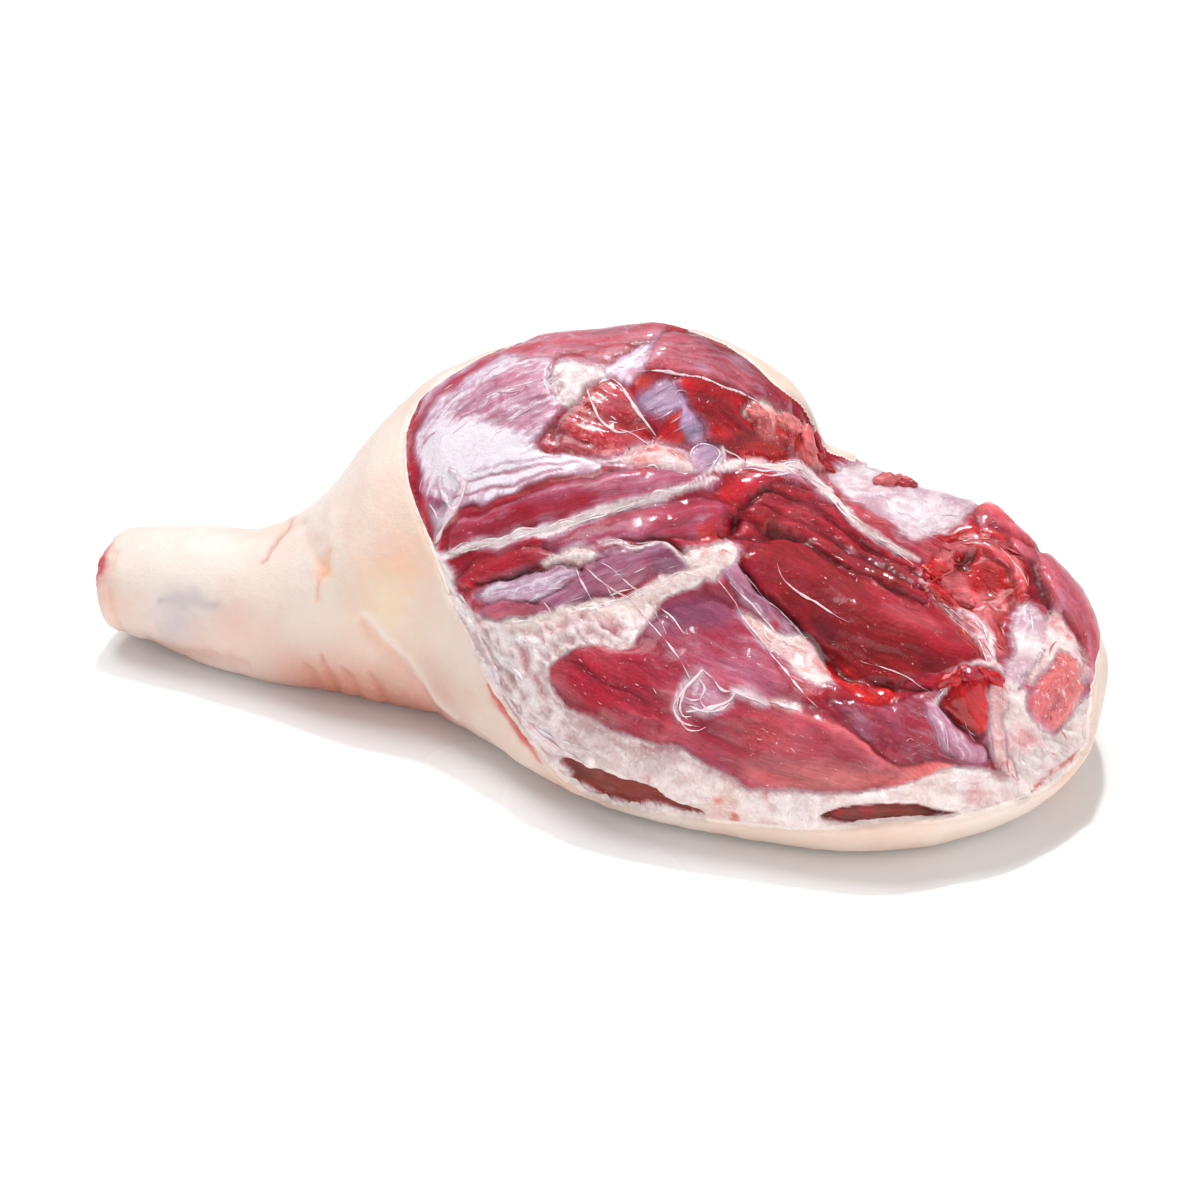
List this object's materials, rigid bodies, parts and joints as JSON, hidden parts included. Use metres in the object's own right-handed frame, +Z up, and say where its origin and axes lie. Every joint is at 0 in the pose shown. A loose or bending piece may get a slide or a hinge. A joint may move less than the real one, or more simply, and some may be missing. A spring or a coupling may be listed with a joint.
{
  "type": "raw pork leg",
  "caption": "Raw leg of pork with the skin on, shank cut off, lying skin side down with its trimmed muscle face up.",
  "frame": {"origin": "centre of the bounding box's base, on the table under the leg", "axes": "+X along the leg from the cut shank to the round butt, +Y towards the high far side of the meat face, +Z up"},
  "size_m": [0.539, 0.2724, 0.181],
  "materials": {
    "raw_pork": "moist raw meat and fresh skin, satin to wet gloss"
  },
  "bodies": {
    "root": {"pork_leg": "raw_pork"}
  },
  "joints": []
}
